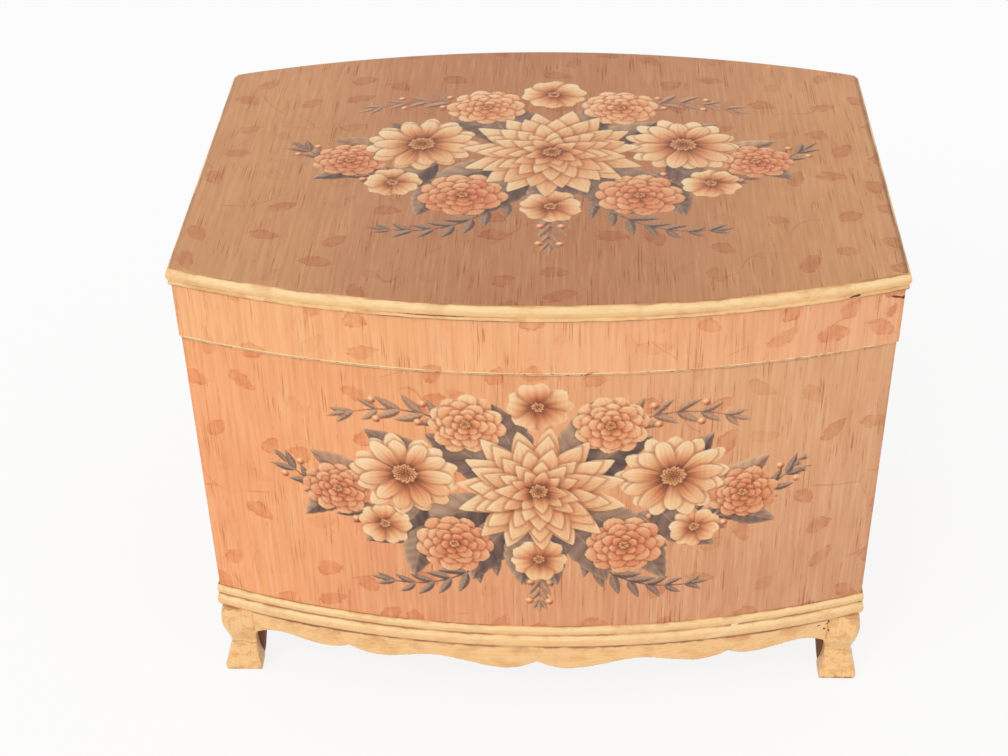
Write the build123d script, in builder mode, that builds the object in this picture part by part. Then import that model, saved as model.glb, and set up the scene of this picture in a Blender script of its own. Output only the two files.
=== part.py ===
from build123d import *
import os
from math import cos, degrees, asin, sin, sqrt

os.makedirs("parts", exist_ok=True)

# Storage chest with a bowed front and back. Millimetres, +Z up, front toward -Y,
# origin on the floor below the centre of the chest.

# Whole chest
lid_width = 460.0
side_length = 268.0
bow_rise = 39.0
total_height = 351.0
wall = 12.0

# Heights of the joints between the stages
lid_height = 52.5
lid_panel_thickness = 12.0
base_height = 62.5
base_moulding_height = 19.5
parting_z = total_height - lid_height
lid_panel_z = total_height - lid_panel_thickness
base_moulding_top = base_height + base_moulding_height

# The lid sides stand a little proud of the chest sides
lid_overhang = 1.0
rim_easing = 1.2
rim_corner = 2.0

# Floor panel held in grooves
floor_rise = 6.5
floor_thickness = 6.0
floor_groove_depth = 5.0
floor_groove_slack = 0.5

# Half-round moulding around the lid, with a fine bead along its lower edge
lid_moulding_height = 11.5
lid_moulding_proud = 2.4
lid_moulding_flat = 0.7
lid_quirk_proud = 1.1
lid_bead_proud = 1.6
lid_bead_height = 3.0
lid_back_easing = 1.5
lid_back_corner = 4.5

# Double moulding around the foot of the chest
upper_bead_height = 8.1
upper_bead_proud = 1.5
lower_bead_proud = 2.3
bead_groove_proud = 0.6
bead_groove_height = 0.4
base_moulding_edge = 0.5

# Carved feet: distances are inward from the side of the chest, negative is proud
foot_top_in = 0.6
foot_top_front_in = -1.6
knee_in = -1.4
knee_front_in = -3.8
knee_z = 49.0
knee_under_in = 1.1
knee_under_z = 39.0
knee_tuck = 1.6
knee_tuck_z = 30.5
waist_in = 3.0
waist_z = 24.5
toe_in = -2.6
toe_z = 6.0
toe_side_z = 2.4
toe_bottom_in = 2.4
toe_hollow = 1.0
foot_inner = 22.8
foot_ear = 24.3
foot_ear_z = 40.5
foot_waist_inner = 21.2
foot_ear_sag = 0.8
corner_cant = 2.8
toe_cant = 0.8
foot_forward = 3.1

# Tapered blocks glued into the corners behind the feet
block_outer = 12.0
block_top_inner = 31.0
block_bottom_inner = 23.0

# Aprons between the feet. Their lower edge is a row of curves from each foot to the
# middle, and a curve is given by pairs of shares: how far its points are along half the
# apron, from 0 in the middle to 1 at the foot, and how deep, with 1 as deep as the foot's ear.
apron_back_depth = 16.5
front_scallop_ratios = (
    ((0.873, 0.68), (0.747, 0.86), (0.655, 0.66)),
    ((0.543, 0.91), (0.359, 0.63), (0.102, 1.005), (0, 0.695)),
)
side_scallop_ratios = (
    ((0.81, 0.68), (0.6, 0.86), (0.475, 0.66)),
    ((0.22, 0.955), (0, 0.695)),
)

# Butt hinges let into the back rim
hinge_x = 50.0
hinge_length = 32.0
leaf_thickness = 1.2
leaf_gap = 0.2
leaf_reach = 13.6
knuckle_radius = 2.75
knuckle_gap = 0.3
knuckle_clearance = 0.45
knuckle_stand_off = 0.48
pin_radius = 1.2
pin_running_clearance = 0.07
pin_head = 0.8
pin_head_radius = 1.7

# Countersunk wood screws
screw_spacing = 20.0
screw_head_radius = 2.3
screw_radius = 1.1
screw_length = 11.0
screw_tip = 2.4
screw_slot = 0.7
screw_slot_depth = 0.5
screw_leaf_margin = 1.6

# Derived sizes of the bow
lid_half = lid_width / 2
chest_half = lid_half - lid_overhang
lid_radius = (lid_half**2 + bow_rise**2) / (2 * bow_rise)
chest_radius = lid_radius - lid_overhang
bow_centre = lid_radius - bow_rise - side_length / 2
cut_margin = 30.0


def reach(radius, x):
    """Distance of a bowed face from the middle plane at x."""
    return sqrt(radius**2 - x**2) - bow_centre


# Places that follow from the bow and the heights
foot_front_y = reach(chest_radius, chest_half) + foot_forward
hinge_axis_y = reach(lid_radius, hinge_x - hinge_length / 2) + knuckle_stand_off + knuckle_radius
floor_z = base_height + floor_rise
apron_depth = base_height - foot_ear_z


def bowed_board(facing, radius, half_length, z_low, z_high):
    """Upright board bent to the bow; facing is -1 for the front and 1 for the back."""
    inner = radius - wall
    with BuildPart() as board:
        with BuildSketch(Plane.XY.offset(z_low)):
            with BuildLine():
                ThreePointArc(
                    (-half_length, facing * reach(radius, half_length)),
                    (0, facing * reach(radius, 0)),
                    (half_length, facing * reach(radius, half_length)),
                )
                Line(
                    (half_length, facing * reach(radius, half_length)),
                    (half_length, facing * reach(inner, half_length)),
                )
                ThreePointArc(
                    (half_length, facing * reach(inner, half_length)),
                    (0, facing * reach(inner, 0)),
                    (-half_length, facing * reach(inner, half_length)),
                )
                Line(
                    (-half_length, facing * reach(inner, half_length)),
                    (-half_length, facing * reach(radius, half_length)),
                )
            make_face()
        extrude(amount=z_high - z_low)
    return board.part


def bowed_slab(radius, half_width, z_low, z_high):
    """Horizontal board with a bowed front and back edge and straight sides."""
    corner_y = reach(radius, half_width)
    with BuildPart() as slab:
        with BuildSketch(Plane.XY.offset(z_low)):
            with BuildLine():
                ThreePointArc(
                    (-half_width, -corner_y),
                    (0, -reach(radius, 0)),
                    (half_width, -corner_y),
                )
                Line((half_width, -corner_y), (half_width, corner_y))
                ThreePointArc(
                    (half_width, corner_y),
                    (0, reach(radius, 0)),
                    (-half_width, corner_y),
                )
                Line((-half_width, corner_y), (-half_width, -corner_y))
            make_face()
        extrude(amount=z_high - z_low)
    return slab.part


def side_board(side, half_width, radius, z_low, z_high):
    """Straight board between the bowed ones; side is -1 for left and 1 for right."""
    between = bowed_slab(radius - wall, half_width, z_low, z_high)
    with BuildPart() as board:
        with BuildSketch(Plane.XY.offset(z_low)):
            with Locations((side * (half_width - wall / 2), 0)):
                Rectangle(wall, side_length)
        extrude(amount=z_high - z_low)
        add(between, mode=Mode.INTERSECT)
    return board.part


def mitre_plane(side, half_width, radius):
    """Upright plane of a mitred front corner, facing forward; side is -1 left and 1 right."""
    turn = asin(half_width / radius)
    return Plane(
        origin=(side * half_width, -reach(radius, half_width), 0),
        z_dir=(-side * cos(turn), -1 - sin(turn), 0),
    )


def lid_moulding_section(face):
    """Section of the lid moulding standing on a face at the given distance."""
    low = total_height - lid_moulding_height
    quirk_z = low + lid_bead_height
    middle_z = (total_height + quirk_z) / 2
    with BuildSketch() as section:
        with BuildLine():
            Line((face, low), (face, total_height))
            Line((face, total_height), (face + lid_moulding_flat, total_height))
            ThreePointArc(
                (face + lid_moulding_flat, total_height),
                (face + lid_moulding_proud, middle_z),
                (face + lid_quirk_proud, quirk_z),
            )
            ThreePointArc(
                (face + lid_quirk_proud, quirk_z),
                (face + lid_bead_proud, low + lid_bead_height / 2),
                (face + lid_quirk_proud, low),
            )
            Line((face + lid_quirk_proud, low), (face, low))
        make_face()
    return section.sketch


def base_moulding_section(face):
    """Section of the double base moulding standing on a face at the given distance."""
    upper_low = base_moulding_top - upper_bead_height
    lower_high = upper_low - bead_groove_height
    with BuildSketch() as section:
        with BuildLine():
            Polyline(
                (face + base_moulding_edge, base_height),
                (face, base_height),
                (face, base_moulding_top),
                (face + base_moulding_edge, base_moulding_top),
            )
            ThreePointArc(
                (face + base_moulding_edge, base_moulding_top),
                (face + upper_bead_proud, upper_low + upper_bead_height / 2),
                (face + bead_groove_proud, upper_low),
            )
            Line((face + bead_groove_proud, upper_low), (face + bead_groove_proud, lower_high))
            ThreePointArc(
                (face + bead_groove_proud, lower_high),
                (face + lower_bead_proud, (lower_high + base_height) / 2),
                (face + base_moulding_edge, base_height),
            )
        make_face()
    return section.sketch


def front_moulding(section, half_width, radius):
    """Moulding bent around the bowed front and mitred at both ends."""
    turn = asin((half_width + cut_margin) / radius)
    start = Plane(
        origin=(0, bow_centre, 0), x_dir=(-sin(turn), -cos(turn), 0), z_dir=(-cos(turn), sin(turn), 0)
    )
    with BuildPart() as strip:
        with BuildSketch(start):
            add(section(radius))
        revolve(axis=Axis((0, bow_centre, 0), (0, 0, 1)), revolution_arc=2 * degrees(turn))
        for side in (-1, 1):
            split(bisect_by=mitre_plane(side, half_width, radius), keep=Keep.TOP)
    return strip.part


def side_moulding(section, side, half_width, radius, back_corner):
    """Straight moulding along one side, mitred in front and cut square at the back corner."""
    with BuildPart() as strip:
        with BuildSketch(Plane.XZ.offset(back_corner - reach(radius, half_width))):
            add(section(half_width))
        extrude(amount=side_length + cut_margin)
        split(bisect_by=mitre_plane(1, half_width, radius), keep=Keep.BOTTOM)
    return strip.part if side > 0 else strip.part.mirror(Plane.YZ)


def hinge_recess(centre_x, z_low, z_high):
    """Space that one hinge leaf takes out of a rim."""
    with BuildPart() as recess:
        with BuildSketch(Plane.XY.offset(z_low)):
            with Locations((centre_x, hinge_axis_y - leaf_reach / 2)):
                Rectangle(hinge_length, leaf_reach)
        extrude(amount=z_high - z_low)
    return recess.part


def screw(centre_x, head_z, down):
    """Countersunk screw; down is -1 when it points at the floor and 1 when it points up."""
    shank_end = screw_length - screw_tip
    centre_y = hinge_axis_y - leaf_reach + screw_head_radius + screw_leaf_margin
    upright = Plane(origin=(centre_x, centre_y, head_z), x_dir=(1, 0, 0), z_dir=(0, -down, 0))
    with BuildPart() as body:
        with BuildSketch(upright):
            with BuildLine():
                Polyline(
                    (0, 0),
                    (screw_head_radius, 0),
                    (screw_radius, leaf_thickness),
                    (screw_radius, shank_end),
                    (0, screw_length),
                    close=True,
                )
            make_face()
        revolve(axis=Axis((centre_x, centre_y, head_z), (0, 0, 1)))
    return body.part


def screw_set(head_z, down):
    """Every screw of one row of leaves, two to a leaf."""
    return [
        screw(side * hinge_x + end * screw_spacing / 2, head_z, down)
        for side in (-1, 1)
        for end in (-1, 1)
    ]


def slotted(screws, head_z, down):
    """The same screws with a driver slot cut across each head."""
    with BuildPart() as group:
        for one in screws:
            add(one)
        for one in screws:
            middle = one.bounding_box().center()
            with Locations((middle.X, middle.Y, head_z + down * screw_slot_depth / 2)):
                Box(2 * screw_head_radius, screw_slot, screw_slot_depth, mode=Mode.SUBTRACT)
    return group.part


# Heights of the hinge leaves about the line where the lid meets the chest
chest_leaf_top = parting_z - leaf_gap / 2
chest_leaf_low = chest_leaf_top - leaf_thickness
lid_leaf_low = parting_z + leaf_gap / 2
lid_leaf_top = lid_leaf_low + leaf_thickness
chest_screws = screw_set(chest_leaf_top, -1)
lid_screws = screw_set(lid_leaf_low, 1)

# Floor panel and the groove it stands in
groove_inset = wall - floor_groove_depth
floor_inset = groove_inset + floor_groove_slack
floor_groove = bowed_slab(
    chest_radius - groove_inset, chest_half - groove_inset, floor_z, floor_z + floor_thickness
)

with BuildPart() as floor_panel:
    add(
        bowed_slab(
            chest_radius - floor_inset, chest_half - floor_inset, floor_z, floor_z + floor_thickness
        )
    )
floor_panel.part.label = "floor_panel"
export_step(floor_panel.part, "parts/floor_panel.step")

# Bowed front panel
with BuildPart() as front_panel:
    add(bowed_board(-1, chest_radius, chest_half, base_height, parting_z))
    fillet(front_panel.edges().filter_by(Axis.Z).group_by(Axis.Y)[0], rim_corner)
    add(floor_groove, mode=Mode.SUBTRACT)
front_panel.part.label = "front_panel"
export_step(front_panel.part, "parts/front_panel.step")

# Bowed back panel, with the recesses for the hinge leaves
with BuildPart() as back_panel:
    add(bowed_board(1, chest_radius, chest_half, base_height, parting_z))
    fillet(back_panel.edges().filter_by(Axis.Z).group_by(Axis.Y)[-1], rim_corner)
    add(floor_groove, mode=Mode.SUBTRACT)
    for side in (-1, 1):
        add(hinge_recess(side * hinge_x, chest_leaf_low, parting_z), mode=Mode.SUBTRACT)
    for one in chest_screws:
        add(one, mode=Mode.SUBTRACT)
back_panel.part.label = "back_panel"
export_step(back_panel.part, "parts/back_panel.step")

# Straight side panels
for name, side in (("left_panel", -1), ("right_panel", 1)):
    with BuildPart() as side_panel:
        add(side_board(side, chest_half, chest_radius, base_height, parting_z))
        add(floor_groove, mode=Mode.SUBTRACT)
    side_panel.part.label = name
    export_step(side_panel.part, f"parts/{name}.step")

# Base mouldings
with BuildPart() as base_moulding_front:
    add(front_moulding(base_moulding_section, chest_half, chest_radius))
base_moulding_front.part.label = "base_moulding_front"
export_step(base_moulding_front.part, "parts/base_moulding_front.step")

for name, side in (("base_moulding_left", -1), ("base_moulding_right", 1)):
    with BuildPart() as base_moulding_side:
        add(side_moulding(base_moulding_section, side, chest_half, chest_radius, rim_corner))
    base_moulding_side.part.label = name
    export_step(base_moulding_side.part, f"parts/{name}.step")


# Carved feet
def hollow_arc(high, low, hollow):
    """Arc between two points of an outline, bent sideways by the hollow at its middle."""
    middle = ((high[0] + low[0]) / 2 + hollow, (high[1] + low[1]) / 2)
    return ThreePointArc(high, middle, low)


def round_corner(side_end, bottom_end):
    """Quarter round from the side of an outline to its bottom."""
    share = 1 - sqrt(0.5)
    reach_in = bottom_end[0] - side_end[0]
    middle = (side_end[0] + share * reach_in, share * side_end[1])
    return ThreePointArc(side_end, middle, bottom_end)


def foot_outline(origin, top_in, knee, inner):
    """Side view of a foot: outer knee, waist and toe, then the inner edge back up."""
    with BuildSketch() as section:
        with BuildLine():
            Spline(
                (origin + top_in, base_height),
                (origin + knee, knee_z),
                (origin + knee + knee_under_in, knee_under_z),
                (origin + waist_in - knee_tuck, knee_tuck_z),
                (origin + waist_in, waist_z),
            )
            hollow_arc((origin + waist_in, waist_z), (origin + toe_in, toe_z), toe_hollow)
            Line((origin + toe_in, toe_z), (origin + toe_in, toe_side_z))
            round_corner((origin + toe_in, toe_side_z), (origin + toe_in + toe_bottom_in, 0))
            Line((origin + toe_in + toe_bottom_in, 0), (origin + inner - toe_bottom_in, 0))
            round_corner((origin + inner, toe_side_z), (origin + inner - toe_bottom_in, 0))
            Line((origin + inner, toe_side_z), (origin + inner, toe_z))
            hollow_arc((origin + foot_waist_inner, waist_z), (origin + inner, toe_z), -toe_hollow)
            ThreePointArc(
                (origin + foot_waist_inner, waist_z),
                (origin + foot_waist_inner + foot_ear_sag, (waist_z + foot_ear_z) / 2),
                (origin + inner, foot_ear_z),
            )
            Line((origin + inner, foot_ear_z), (origin + foot_inner, foot_ear_z))
            Line((origin + foot_inner, foot_ear_z), (origin + foot_inner, base_height))
            Line((origin + foot_inner, base_height), (origin + top_in, base_height))
        make_face()
    return section.sketch


def cant_outline():
    """Corner-on view of a foot, which cants off the arris between its two faces."""
    diagonal = sqrt(2)
    with BuildSketch() as section:
        with BuildLine():
            Spline(
                ((foot_top_in + foot_top_front_in) / diagonal + corner_cant, base_height),
                ((knee_in + knee_front_in) / diagonal + corner_cant, knee_z),
                ((knee_in + knee_front_in + 2 * knee_under_in) / diagonal + corner_cant, knee_under_z),
                (2 * (waist_in - knee_tuck) / diagonal + (corner_cant + toe_cant) / 2, knee_tuck_z),
                (2 * waist_in / diagonal + toe_cant, waist_z),
            )
            toe_corner = 2 * toe_in / diagonal + toe_cant
            hollow_arc((2 * waist_in / diagonal + toe_cant, waist_z), (toe_corner, toe_z), toe_hollow)
            Line((toe_corner, toe_z), (toe_corner, toe_side_z))
            round_corner((toe_corner, toe_side_z), (toe_corner + toe_bottom_in, 0))
            Polyline(
                (toe_corner + toe_bottom_in, 0),
                (2 * cut_margin, 0),
                (2 * cut_margin, base_height),
                ((foot_top_in + foot_top_front_in) / diagonal + corner_cant, base_height),
            )
        make_face()
    return section.sketch


def block_outline(origin):
    """Side view of a corner block, tapering toward the floor."""
    with BuildSketch() as section:
        with BuildLine():
            Polyline(
                (origin + block_outer, 0),
                (origin + block_bottom_inner, 0),
                (origin + block_top_inner, base_height),
                (origin + block_outer, base_height),
                close=True,
            )
        make_face()
    return section.sketch


foot_span = 2 * cut_margin

with BuildPart() as block_front_left:
    with BuildSketch(Plane.XZ.offset(foot_front_y + foot_span / 2)):
        add(block_outline(-chest_half))
    extrude(amount=-2 * foot_span)
    with BuildSketch(Plane.YZ.offset(-chest_half - foot_span / 2)):
        add(block_outline(-foot_front_y))
    extrude(amount=2 * foot_span, mode=Mode.INTERSECT)

with BuildPart() as foot_front_left:
    with BuildSketch(Plane.XZ.offset(foot_front_y + foot_span / 2)):
        add(foot_outline(-chest_half, foot_top_in, knee_in, foot_ear))
    extrude(amount=-2 * foot_span)
    with BuildSketch(Plane.YZ.offset(-chest_half - foot_span / 2)):
        add(foot_outline(-foot_front_y, foot_top_front_in, knee_front_in, foot_ear))
    extrude(amount=2 * foot_span, mode=Mode.INTERSECT)
    corner = Plane(origin=(-chest_half, -foot_front_y, 0), x_dir=(1, 1, 0), z_dir=(1, -1, 0))
    with BuildSketch(corner):
        add(cant_outline())
    extrude(amount=foot_span, both=True, mode=Mode.INTERSECT)
    with BuildSketch(Plane.XY.offset(-cut_margin)):
        with Locations((-chest_half + block_outer, -foot_front_y + block_outer)):
            Rectangle(foot_span, foot_span, align=(Align.MIN, Align.MIN))
    extrude(amount=base_height + 2 * cut_margin, mode=Mode.SUBTRACT)

for name, shape in (("foot", foot_front_left.part), ("corner_block", block_front_left.part)):
    right = shape.mirror(Plane.YZ)
    placed = {
        "front_left": shape,
        "front_right": right,
        "back_left": shape.mirror(Plane.XZ),
        "back_right": right.mirror(Plane.XZ),
    }
    for corner_name, placed_shape in placed.items():
        placed_shape.label = f"{name}_{corner_name}"
        export_step(placed_shape, f"parts/{name}_{corner_name}.step")


# Scalloped aprons
def apron_outline(half_length, scallop_ratios):
    """Front view of an apron: straight on top, scalloped below, the same on both halves."""
    with BuildSketch() as section:
        with BuildLine():
            Line((-half_length, base_height), (half_length, base_height))
            for half in (-1, 1):
                last = (half * half_length, base_height - apron_depth)
                Line((half * half_length, base_height), last)
                for scallop in scallop_ratios:
                    points = [
                        (half * half_length * along, base_height - apron_depth * deep)
                        for along, deep in scallop
                    ]
                    Spline(last, *points)
                    last = points[-1]
        make_face()
    return section.sketch


with BuildPart() as apron_front:
    with BuildSketch(Plane.XZ.offset(side_length)):
        add(apron_outline(chest_half - foot_inner, front_scallop_ratios))
    extrude(amount=-side_length)
    add(bowed_board(-1, chest_radius, chest_half, 0, base_height), mode=Mode.INTERSECT)
apron_front.part.label = "apron_front"
export_step(apron_front.part, "parts/apron_front.step")

for name, side in (("apron_left", -1), ("apron_right", 1)):
    with BuildPart() as apron_side:
        with BuildSketch(Plane.YZ.offset(side * (chest_half - wall / 2))):
            add(apron_outline(foot_front_y - foot_inner, side_scallop_ratios))
        extrude(amount=wall / 2, both=True)
    apron_side.part.label = name
    export_step(apron_side.part, f"parts/{name}.step")

with BuildPart() as apron_back:
    add(bowed_board(1, chest_radius, chest_half - foot_inner, base_height - apron_back_depth, base_height))
apron_back.part.label = "apron_back"
export_step(apron_back.part, "parts/apron_back.step")

# Lid: a bowed top board on four sides
with BuildPart() as lid_top_panel:
    add(bowed_slab(lid_radius, lid_half, lid_panel_z, total_height))
    fillet(lid_top_panel.edges().filter_by(Axis.Z).group_by(Axis.Y)[-1], lid_back_corner)
    back_edges = lid_top_panel.faces().sort_by(Axis.Z)[-1].edges().sort_by(Axis.Y)[-1]
    chamfer(back_edges, lid_back_easing)
lid_top_panel.part.label = "lid_top_panel"
export_step(lid_top_panel.part, "parts/lid_top_panel.step")

for name, facing in (("lid_front_side", -1), ("lid_back_side", 1)):
    with BuildPart() as lid_long_side:
        add(bowed_board(facing, lid_radius, lid_half, parting_z, lid_panel_z))
        outer = -1 if facing > 0 else 0
        corner = lid_back_corner if facing > 0 else rim_corner
        fillet(lid_long_side.edges().filter_by(Axis.Z).group_by(Axis.Y)[outer], corner)
        if facing > 0:
            for side in (-1, 1):
                add(hinge_recess(side * hinge_x, parting_z, lid_leaf_top), mode=Mode.SUBTRACT)
            for one in lid_screws:
                add(one, mode=Mode.SUBTRACT)
        else:
            low_edges = lid_long_side.faces().sort_by(Axis.Z)[0].edges()
            fillet(low_edges.sort_by(Axis.Y)[0], rim_easing)
    lid_long_side.part.label = name
    export_step(lid_long_side.part, f"parts/{name}.step")

for name, side in (("lid_left_side", -1), ("lid_right_side", 1)):
    with BuildPart() as lid_short_side:
        add(side_board(side, lid_half, lid_radius, parting_z, lid_panel_z))
    lid_short_side.part.label = name
    export_step(lid_short_side.part, f"parts/{name}.step")

# Lid mouldings
with BuildPart() as lid_moulding_front:
    add(front_moulding(lid_moulding_section, lid_half, lid_radius))
lid_moulding_front.part.label = "lid_moulding_front"
export_step(lid_moulding_front.part, "parts/lid_moulding_front.step")

for name, side in (("lid_moulding_left", -1), ("lid_moulding_right", 1)):
    with BuildPart() as lid_moulding_side:
        add(side_moulding(lid_moulding_section, side, lid_half, lid_radius, lid_back_corner))
    lid_moulding_side.part.label = name
    export_step(lid_moulding_side.part, f"parts/{name}.step")

# Hinges: the chest leaf carries the two outer knuckles, the lid leaf the middle one
knuckle_length = (hinge_length - 2 * knuckle_gap) / 3
outer_knuckle_x = (hinge_length - knuckle_length) / 2


def hinge_leaf(centre_x, z_low, own_knuckles, other_knuckles, bore_radius, screws):
    """Flat leaf with its knuckles, cleared around the knuckles of the other leaf."""
    round_pin = Plane(
        origin=(centre_x, hinge_axis_y, parting_z), x_dir=(0, 1, 0), z_dir=(1, 0, 0)
    )
    with BuildPart() as leaf:
        with BuildSketch(Plane.XY.offset(z_low)):
            with Locations((centre_x, hinge_axis_y - leaf_reach / 2)):
                Rectangle(hinge_length, leaf_reach)
        extrude(amount=leaf_thickness)
        for shift in other_knuckles:
            clear = knuckle_radius + knuckle_clearance
            with Locations((centre_x + shift, hinge_axis_y, parting_z)):
                Box(knuckle_length + 2 * knuckle_gap, 2 * clear, 2 * clear, mode=Mode.SUBTRACT)
        for shift in own_knuckles:
            with BuildSketch(round_pin.offset(shift)):
                Circle(knuckle_radius)
            extrude(amount=knuckle_length / 2, both=True)
        with BuildSketch(round_pin):
            Circle(bore_radius)
        extrude(amount=hinge_length, both=True, mode=Mode.SUBTRACT)
        for one in screws:
            add(one, mode=Mode.SUBTRACT)
    return leaf.part


outer_knuckles = (-outer_knuckle_x, outer_knuckle_x)
middle_knuckle = (0,)

for end, side in (("left", -1), ("right", 1)):
    with BuildPart() as hinge_chest_leaf:
        add(
            hinge_leaf(
                side * hinge_x, chest_leaf_low, outer_knuckles, middle_knuckle, pin_radius, chest_screws
            )
        )
    hinge_chest_leaf.part.label = f"hinge_chest_leaf_{end}"
    export_step(hinge_chest_leaf.part, f"parts/hinge_chest_leaf_{end}.step")

    running_bore = pin_radius + pin_running_clearance
    with BuildPart() as hinge_lid_leaf:
        add(
            hinge_leaf(
                side * hinge_x, lid_leaf_low, middle_knuckle, outer_knuckles, running_bore, lid_screws
            )
        )
    hinge_lid_leaf.part.label = f"hinge_lid_leaf_{end}"
    export_step(hinge_lid_leaf.part, f"parts/hinge_lid_leaf_{end}.step")

    with BuildPart() as hinge_pin:
        across = Plane(
            origin=(side * hinge_x, hinge_axis_y, parting_z), x_dir=(0, 1, 0), z_dir=(1, 0, 0)
        )
        with BuildSketch(across):
            Circle(pin_radius)
        extrude(amount=hinge_length / 2, both=True)
        for tip in (-1, 1):
            with BuildSketch(across.offset(tip * (hinge_length + pin_head) / 2)):
                Circle(pin_head_radius)
            extrude(amount=pin_head / 2, both=True)
    hinge_pin.part.label = f"hinge_pin_{end}"
    export_step(hinge_pin.part, f"parts/hinge_pin_{end}.step")

with BuildPart() as hinge_screws_chest:
    add(slotted(chest_screws, chest_leaf_top, -1))
hinge_screws_chest.part.label = "hinge_screws_chest"
export_step(hinge_screws_chest.part, "parts/hinge_screws_chest.step")

with BuildPart() as hinge_screws_lid:
    add(slotted(lid_screws, lid_leaf_low, 1))
hinge_screws_lid.part.label = "hinge_screws_lid"
export_step(hinge_screws_lid.part, "parts/hinge_screws_lid.step")
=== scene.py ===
import math
import random
from functools import partial, reduce

import bpy
import numpy as np
from mathutils import Euler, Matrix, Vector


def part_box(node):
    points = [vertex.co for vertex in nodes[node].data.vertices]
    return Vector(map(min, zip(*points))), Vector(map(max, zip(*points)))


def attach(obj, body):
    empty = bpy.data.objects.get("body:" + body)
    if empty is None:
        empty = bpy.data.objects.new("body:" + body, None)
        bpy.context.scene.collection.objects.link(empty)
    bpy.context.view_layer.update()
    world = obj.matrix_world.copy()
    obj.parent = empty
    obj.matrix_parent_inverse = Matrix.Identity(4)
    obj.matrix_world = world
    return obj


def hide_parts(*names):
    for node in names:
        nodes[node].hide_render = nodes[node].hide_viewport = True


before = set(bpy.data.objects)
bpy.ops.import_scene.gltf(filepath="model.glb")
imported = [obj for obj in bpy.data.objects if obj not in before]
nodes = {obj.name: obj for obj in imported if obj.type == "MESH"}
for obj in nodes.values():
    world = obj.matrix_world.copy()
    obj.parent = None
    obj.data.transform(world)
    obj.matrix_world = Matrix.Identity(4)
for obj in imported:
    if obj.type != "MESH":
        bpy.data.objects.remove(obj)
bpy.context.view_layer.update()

# Places are in metres, in the frame's axes: +Z up, front toward -Y. What the materials
# and the painted drawing measure is in millimetres.
MM = 0.001

# The bow, the walls and the heights, as the frame has them
bow_rise = 39 * MM
wall = 12 * MM
lid_low, lid_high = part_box("lid_top_panel")
chest_low, chest_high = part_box("front_panel")
floor_low, floor_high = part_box("floor_panel")
lid_half = lid_high.x
chest_half = chest_high.x
lid_radius = (lid_half**2 + bow_rise**2) / (2 * bow_rise)
chest_radius = lid_radius - (lid_half - chest_half)
bow_centre = lid_radius + lid_low.y
parting_z = chest_high.z
rim_corner = 2 * MM
lid_back_corner = 4.5 * MM
lid_back_easing = 1.5 * MM
# how far the paint reaches in from the outer faces, in millimetres
paint_depth = 2.3

# Camera, fitted to the outline of the chest in the photograph
camera_place = (0.026505, -1.051457, 0.944479)
camera_turn = (53.6221, 1.0239, 2.2070)
camera_lens = 62.716
camera_sensor = 36.0

# Light
ambient_level = 0.60
key_sun = (1.05, -40, 40, 40)
fill_sun = (0.30, 45, 30, 60)
floor_reach = 6.0
floor_glow_share = 0.86


def reach(radius, x):
    """Distance of a bowed face from the middle plane at x."""
    return math.sqrt(radius**2 - x**2) - bow_centre


def linear(red, green, blue):
    """Scene-linear colour from the values 0 to 255 that a screen shows."""
    return tuple(
        v / 12.92 if v <= 0.04045 else ((v + 0.055) / 1.055) ** 2.4
        for v in (red / 255, green / 255, blue / 255)
    )


def put(name, data):
    """A new object in the scene."""
    made = bpy.data.objects.new(name, data)
    bpy.context.scene.collection.objects.link(made)
    return made


def stretched(along, across_size, along_size):
    """Sizes of a noise on x, y and z that is drawn out along one axis."""
    return tuple(along_size if axis == along else across_size for axis in range(3))


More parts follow.
